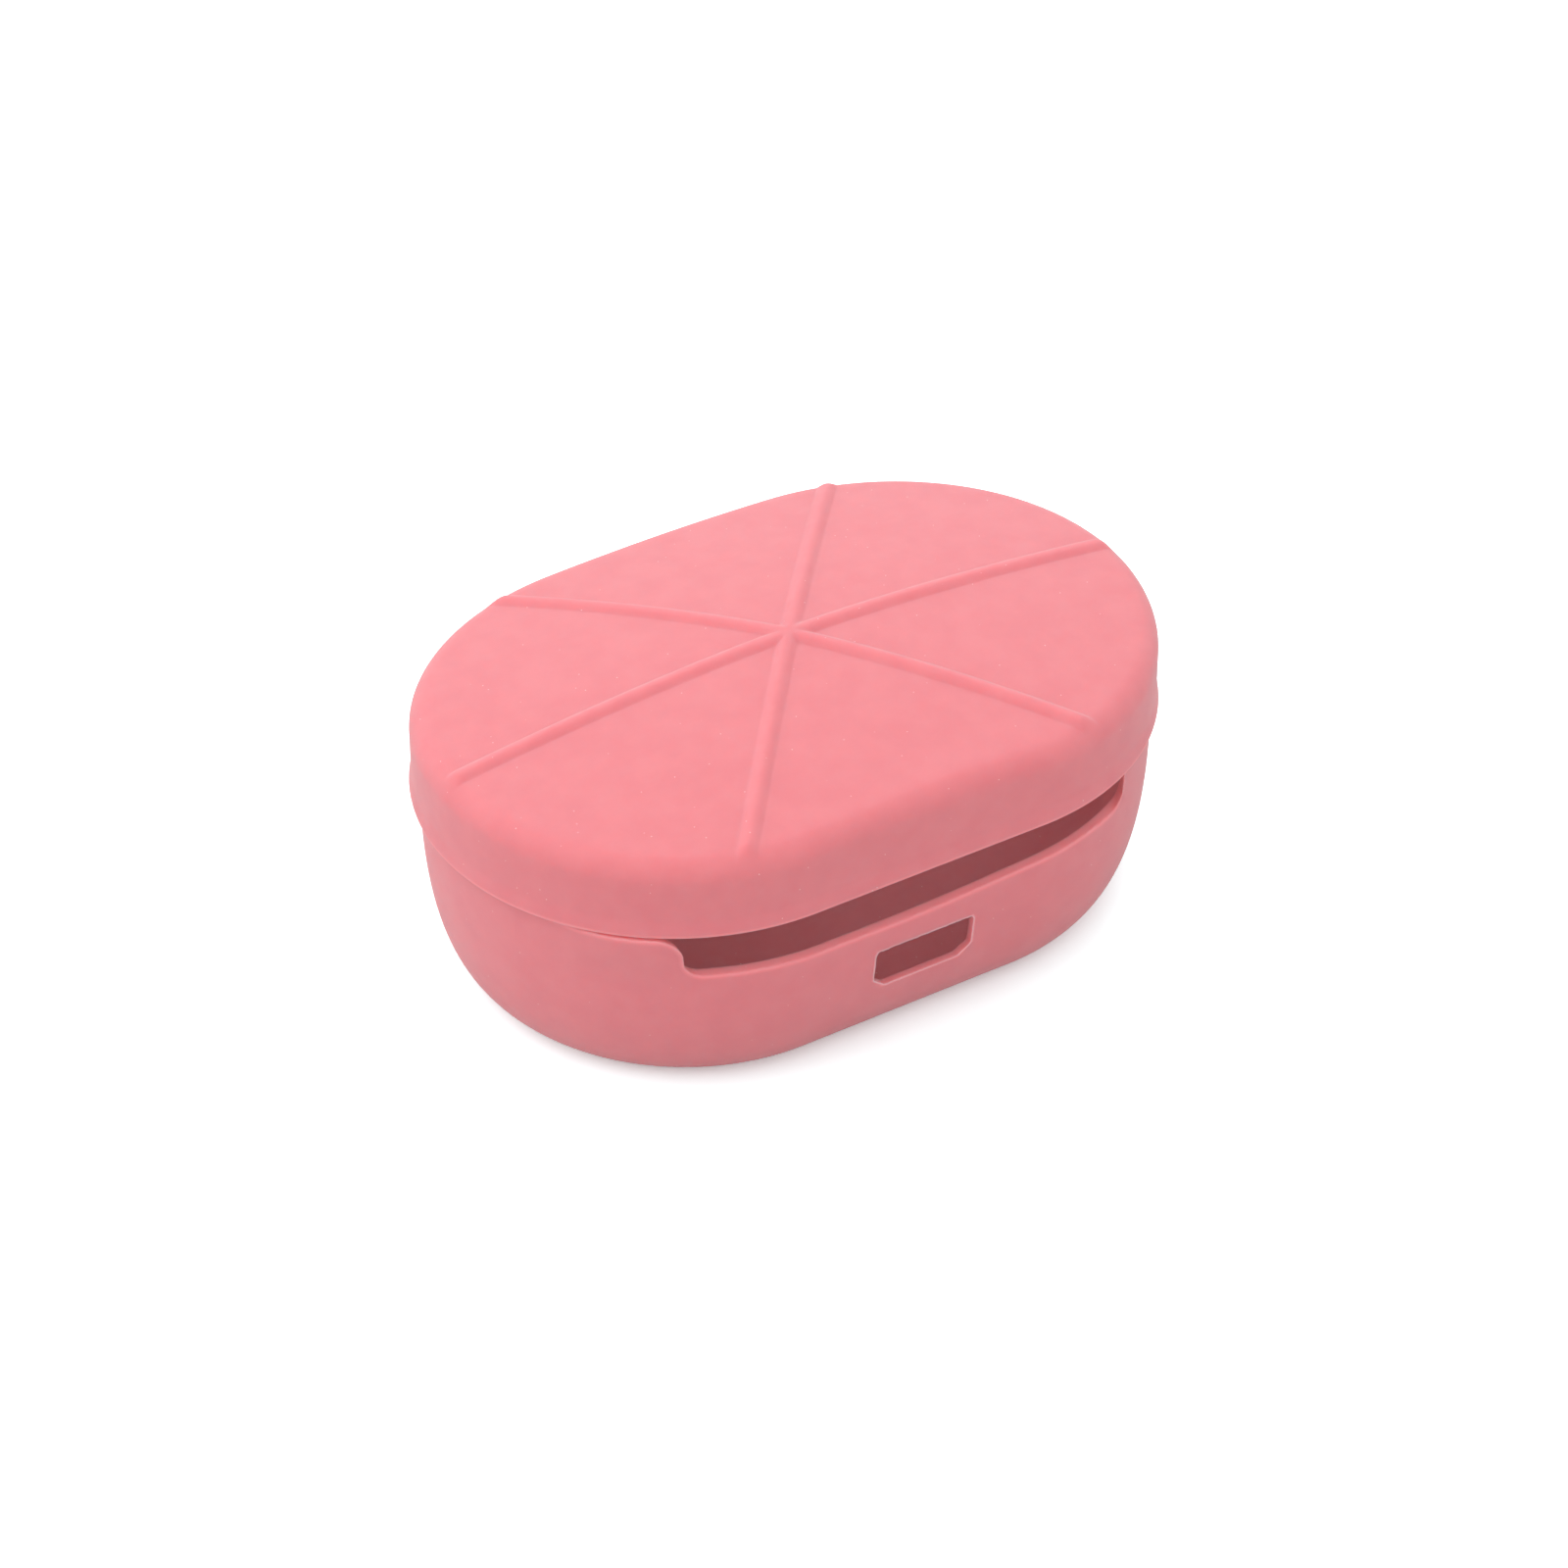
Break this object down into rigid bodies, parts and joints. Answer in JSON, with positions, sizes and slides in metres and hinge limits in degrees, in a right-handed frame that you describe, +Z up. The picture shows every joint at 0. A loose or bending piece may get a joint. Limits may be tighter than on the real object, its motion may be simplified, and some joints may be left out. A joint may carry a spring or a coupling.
{
  "type": "earbud charging case cover",
  "caption": "Two-piece silicone protective cover for an oval earbud charging case: bowl base with hinge notch and charging port, and a domed ribbed lid that swings open.",
  "frame": {"origin": "centre of the underside, on the surface that the cover stands on", "axes": "+Z up, +X along the length, hinge notch and charging port on the -Y side, opening front on the +Y side"},
  "size_m": [0.066, 0.0444, 0.0281],
  "materials": {
    "silicone": "matte coral pink moulded silicone"
  },
  "bodies": {
    "base": {"base_cover": "silicone"},
    "lid": {"lid_cover": "silicone"}
  },
  "joints": [
    {"name": "lid_hinge", "type": "hinge", "parent": "base", "child": "lid", "pos_m": [0, -0.0202, 0.0178], "axis": [1, 0, 0], "range_deg": [0, 100]}
  ]
}
